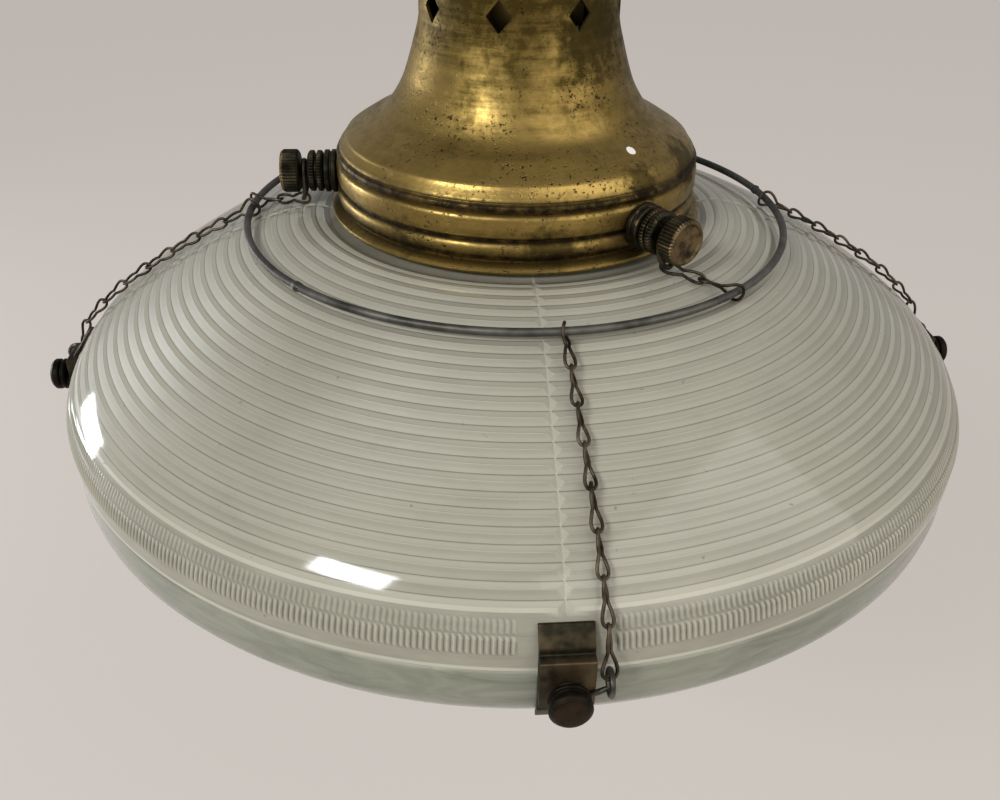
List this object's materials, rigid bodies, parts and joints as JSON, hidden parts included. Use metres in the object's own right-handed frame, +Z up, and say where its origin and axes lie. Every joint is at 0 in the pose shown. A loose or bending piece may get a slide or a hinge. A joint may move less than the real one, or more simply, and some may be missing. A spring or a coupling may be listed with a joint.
{
  "type": "pendant light",
  "caption": "Antique pendant light with a vented brass holder, a ribbed glass dome and a shallow glass bowl hung on chains and clips.",
  "frame": {"origin": "the lamp's axis, where the inside of the hanging loop bears on its hook", "axes": "+Z up along the lamp's axis; -Y towards the front clip, the side that the picture shows"},
  "size_m": [0.329, 0.329, 0.2361],
  "materials": {
    "dark_brass": "aged, dark in the hollows",
    "aged_brass": "aged, worn bright in streaks",
    "plated_steel": "dull",
    "bulb_metal": "satin",
    "dark_wire": "darkened",
    "upper_glass": "ribbed, frosted",
    "lower_glass": "ribbed, frosted",
    "porcelain": "glazed",
    "bulb_glass": "frosted"
  },
  "bodies": {
    "lamp": {"hanging_loop": "dark_brass", "loop_collar": "aged_brass", "nipple": "aged_brass", "lock_nut": "plated_steel", "holder_bell": "aged_brass", "boss_1": "dark_brass", "boss_2": "dark_brass", "boss_3": "dark_brass", "ring": "dark_wire", "clip_1": "dark_brass", "clip_2": "dark_brass", "clip_3": "dark_brass", "clip_4": "dark_brass", "upper_glass": "upper_glass", "lower_glass": "lower_glass", "socket_cap": "aged_brass", "socket_body": "porcelain", "socket_shell": "aged_brass", "centre_contact": "aged_brass"},
    "eyelet_1": {"eyelet_1": "dark_wire"},
    "holder_screw_1": {"holder_screw_1": "dark_brass"},
    "short_link_1_near": {"short_link_1_near": "dark_wire"},
    "short_link_1_far": {"short_link_1_far": "dark_wire"},
    "eyelet_2": {"eyelet_2": "dark_wire"},
    "holder_screw_2": {"holder_screw_2": "dark_brass"},
    "short_link_2_near": {"short_link_2_near": "dark_wire"},
    "short_link_2_far": {"short_link_2_far": "dark_wire"},
    "eyelet_3": {"eyelet_3": "dark_wire"},
    "holder_screw_3": {"holder_screw_3": "dark_brass"},
    "short_link_3_near": {"short_link_3_near": "dark_wire"},
    "short_link_3_far": {"short_link_3_far": "dark_wire"},
    "chain_1_upper": {"chain_1_upper": "dark_wire"},
    "chain_1_lower": {"chain_1_lower": "dark_wire"},
    "clip_hook_1": {"clip_hook_1": "dark_wire"},
    "clip_screw_1": {"clip_screw_1": "dark_brass"},
    "chain_2_upper": {"chain_2_upper": "dark_wire"},
    "chain_2_lower": {"chain_2_lower": "dark_wire"},
    "clip_hook_2": {"clip_hook_2": "dark_wire"},
    "clip_screw_2": {"clip_screw_2": "dark_brass"},
    "chain_3_upper": {"chain_3_upper": "dark_wire"},
    "chain_3_lower": {"chain_3_lower": "dark_wire"},
    "clip_hook_3": {"clip_hook_3": "dark_wire"},
    "clip_screw_3": {"clip_screw_3": "dark_brass"},
    "chain_4_upper": {"chain_4_upper": "dark_wire"},
    "chain_4_lower": {"chain_4_lower": "dark_wire"},
    "clip_hook_4": {"clip_hook_4": "dark_wire"},
    "clip_screw_4": {"clip_screw_4": "dark_brass"},
    "bulb": {"bulb_glass": "bulb_glass", "bulb_cap": "bulb_metal", "bulb_tip": "plated_steel", "bulb_stem": "bulb_glass"},
    "terminal_screw_1": {"terminal_screw_1": "plated_steel"},
    "terminal_screw_2": {"terminal_screw_2": "plated_steel"}
  },
  "joints": [
    {"name": "holder_screw_1_travel", "type": "slide", "parent": "lamp", "child": "eyelet_1", "axis": [0.6293, -0.7771, 0], "range_m": [0, 0.0016]},
    {"name": "holder_screw_1_turn", "type": "hinge", "parent": "eyelet_1", "child": "holder_screw_1", "pos_m": [0.04456, -0.05502, -0.1173], "axis": [0.6293, -0.7771, 0], "range_deg": [0, 720]},
    {"name": "short_link_1_near_swing", "type": "hinge", "parent": "eyelet_1", "child": "short_link_1_near", "pos_m": [0.04443, -0.05487, -0.1266], "axis": [0, 0, 1], "range_deg": [-5, 5]},
    {"name": "short_link_1_far_swing", "type": "hinge", "parent": "short_link_1_near", "child": "short_link_1_far", "pos_m": [0.05378, -0.05845, -0.12866], "axis": [0, 0, 1], "range_deg": [-10.1, 10.1]},
    {"name": "holder_screw_2_travel", "type": "slide", "parent": "lamp", "child": "eyelet_2", "axis": [0.4067, 0.9135, 0], "range_m": [0, 0.0016]},
    {"name": "holder_screw_2_turn", "type": "hinge", "parent": "eyelet_2", "child": "holder_screw_2", "pos_m": [0.0288, 0.06468, -0.1173], "axis": [0.4067, 0.9135, 0], "range_deg": [0, 720]},
    {"name": "short_link_2_near_swing", "type": "hinge", "parent": "eyelet_2", "child": "short_link_2_near", "pos_m": [0.02872, 0.0645, -0.1266], "axis": [0, 0, 1], "range_deg": [-5, 5]},
    {"name": "short_link_2_far_swing", "type": "hinge", "parent": "short_link_2_near", "child": "short_link_2_far", "pos_m": [0.02803, 0.07433, -0.12866], "axis": [0, 0, 1], "range_deg": [-10.1, 10.1]},
    {"name": "holder_screw_3_travel", "type": "slide", "parent": "lamp", "child": "eyelet_3", "axis": [-0.9986, -0.0523, 0], "range_m": [0, 0.0016]},
    {"name": "holder_screw_3_turn", "type": "hinge", "parent": "eyelet_3", "child": "holder_screw_3", "pos_m": [-0.0707, -0.0037, -0.1173], "axis": [-0.9986, -0.0523, 0], "range_deg": [0, 720]},
    {"name": "short_link_3_near_swing", "type": "hinge", "parent": "eyelet_3", "child": "short_link_3_near", "pos_m": [-0.0705, -0.00369, -0.1266], "axis": [0, 0, 1], "range_deg": [-5, 5]},
    {"name": "short_link_3_far_swing", "type": "hinge", "parent": "short_link_3_near", "child": "short_link_3_far", "pos_m": [-0.07946, 0.00008, -0.12866], "axis": [0, 0, 1], "range_deg": [-10.1, 10.1]},
    {"name": "chain_1_upper_swing", "type": "hinge", "parent": "lamp", "child": "chain_1_upper", "pos_m": [0.01321, -0.08751, -0.13072], "axis": [0.0695, -0.4605, 0.8849], "range_deg": [-4, 4]},
    {"name": "chain_1_lower_swing", "type": "hinge", "parent": "chain_1_upper", "child": "chain_1_lower", "pos_m": [0.019, -0.12593, -0.15276], "axis": [0.0849, -0.5629, 0.8222], "range_deg": [-8.2, 8.2]},
    {"name": "clip_screw_1_travel", "type": "slide", "parent": "lamp", "child": "clip_hook_1", "axis": [0.0872, -0.9962, 0], "range_m": [0, 0.0007]},
    {"name": "clip_screw_1_turn", "type": "hinge", "parent": "clip_hook_1", "child": "clip_screw_1", "pos_m": [0.01388, -0.15859, -0.1903], "axis": [0.0872, -0.9962, 0], "range_deg": [0, 360]},
    {"name": "chain_2_upper_swing", "type": "hinge", "parent": "lamp", "child": "chain_2_upper", "pos_m": [0.08751, 0.01321, -0.13072], "axis": [0.4605, 0.0695, 0.8849], "range_deg": [-4, 4]},
    {"name": "chain_2_lower_swing", "type": "hinge", "parent": "chain_2_upper", "child": "chain_2_lower", "pos_m": [0.12593, 0.019, -0.15276], "axis": [0.5629, 0.0849, 0.8222], "range_deg": [-8.2, 8.2]},
    {"name": "clip_screw_2_travel", "type": "slide", "parent": "lamp", "child": "clip_hook_2", "axis": [0.9962, 0.0872, 0], "range_m": [0, 0.0007]},
    {"name": "clip_screw_2_turn", "type": "hinge", "parent": "clip_hook_2", "child": "clip_screw_2", "pos_m": [0.15859, 0.01388, -0.1903], "axis": [0.9962, 0.0872, 0], "range_deg": [0, 360]},
    {"name": "chain_3_upper_swing", "type": "hinge", "parent": "lamp", "child": "chain_3_upper", "pos_m": [-0.01321, 0.08751, -0.13072], "axis": [-0.0695, 0.4605, 0.8849], "range_deg": [-4, 4]},
    {"name": "chain_3_lower_swing", "type": "hinge", "parent": "chain_3_upper", "child": "chain_3_lower", "pos_m": [-0.019, 0.12593, -0.15276], "axis": [-0.0849, 0.5629, 0.8222], "range_deg": [-8.2, 8.2]},
    {"name": "clip_screw_3_travel", "type": "slide", "parent": "lamp", "child": "clip_hook_3", "axis": [-0.0872, 0.9962, 0], "range_m": [0, 0.0007]},
    {"name": "clip_screw_3_turn", "type": "hinge", "parent": "clip_hook_3", "child": "clip_screw_3", "pos_m": [-0.01388, 0.15859, -0.1903], "axis": [-0.0872, 0.9962, 0], "range_deg": [0, 360]},
    {"name": "chain_4_upper_swing", "type": "hinge", "parent": "lamp", "child": "chain_4_upper", "pos_m": [-0.08847, -0.00219, -0.13072], "axis": [-0.4656, -0.0115, 0.8849], "range_deg": [-4, 4]},
    {"name": "chain_4_lower_swing", "type": "hinge", "parent": "chain_4_upper", "child": "chain_4_lower", "pos_m": [-0.12732, -0.00315, -0.15276], "axis": [-0.5691, -0.0141, 0.8222], "range_deg": [-8.2, 8.2]},
    {"name": "clip_screw_4_travel", "type": "slide", "parent": "lamp", "child": "clip_hook_4", "axis": [-0.9962, -0.0872, 0], "range_m": [0, 0.0007]},
    {"name": "clip_screw_4_turn", "type": "hinge", "parent": "clip_hook_4", "child": "clip_screw_4", "pos_m": [-0.15859, -0.01388, -0.1903], "axis": [-0.9962, -0.0872, 0], "range_deg": [0, 360]},
    {"name": "bulb_turn", "type": "hinge", "parent": "lamp", "child": "bulb", "pos_m": [0, 0, -0.0707], "axis": [0, 0, -1], "range_deg": [0, 720]},
    {"name": "terminal_screw_1_turn", "type": "hinge", "parent": "lamp", "child": "terminal_screw_1", "pos_m": [0.0185, 0, -0.0821], "axis": [1, 0, 0], "range_deg": [0, 720]},
    {"name": "terminal_screw_2_turn", "type": "hinge", "parent": "lamp", "child": "terminal_screw_2", "pos_m": [-0.0185, 0, -0.0821], "axis": [-1, 0, 0], "range_deg": [0, 720]}
  ],
  "couplings": [
    {"joint": "holder_screw_1_turn", "follows": "holder_screw_1_travel", "rad_per_m": 7854},
    {"joint": "short_link_1_far_swing", "follows": "short_link_1_near_swing", "ratio": -2},
    {"joint": "holder_screw_2_turn", "follows": "holder_screw_2_travel", "rad_per_m": 7854},
    {"joint": "short_link_2_far_swing", "follows": "short_link_2_near_swing", "ratio": -2},
    {"joint": "holder_screw_3_turn", "follows": "holder_screw_3_travel", "rad_per_m": 7854},
    {"joint": "short_link_3_far_swing", "follows": "short_link_3_near_swing", "ratio": -2},
    {"joint": "chain_1_lower_swing", "follows": "chain_1_upper_swing", "ratio": -2.0199},
    {"joint": "clip_screw_1_turn", "follows": "clip_screw_1_travel", "rad_per_m": 8976},
    {"joint": "chain_2_lower_swing", "follows": "chain_2_upper_swing", "ratio": -2.0199},
    {"joint": "clip_screw_2_turn", "follows": "clip_screw_2_travel", "rad_per_m": 8976},
    {"joint": "chain_3_lower_swing", "follows": "chain_3_upper_swing", "ratio": -2.0199},
    {"joint": "clip_screw_3_turn", "follows": "clip_screw_3_travel", "rad_per_m": 8976},
    {"joint": "chain_4_lower_swing", "follows": "chain_4_upper_swing", "ratio": -2.0199},
    {"joint": "clip_screw_4_turn", "follows": "clip_screw_4_travel", "rad_per_m": 8976}
  ]
}
